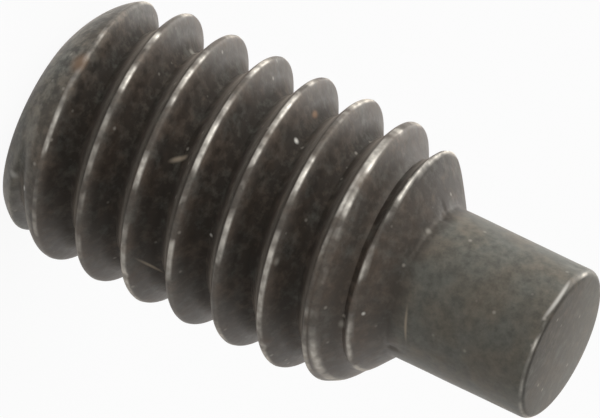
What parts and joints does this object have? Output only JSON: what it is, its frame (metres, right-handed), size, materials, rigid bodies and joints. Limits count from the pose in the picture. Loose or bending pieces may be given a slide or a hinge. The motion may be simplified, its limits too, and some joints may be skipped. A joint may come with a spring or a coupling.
{
  "type": "grub set screw",
  "caption": "Headless set screw with a right-hand thread over its shank, a hexagon socket in its flat end and a long plain dog point.",
  "frame": {"origin": "centre of the flat socket end face, on which the screw stands", "axes": "+Z along the screw's axis, from the socket end to the dog tip; a crest leaves the socket face at 327 degrees from +X"},
  "size_m": [0.0024, 0.0024, 0.005],
  "materials": {
    "black_oxide_steel": "alloy steel, rolled thread, hot black oxide with a thin film of oil, worn bright along the crests"
  },
  "bodies": {
    "root": {"set_screw": "black_oxide_steel"}
  },
  "joints": []
}
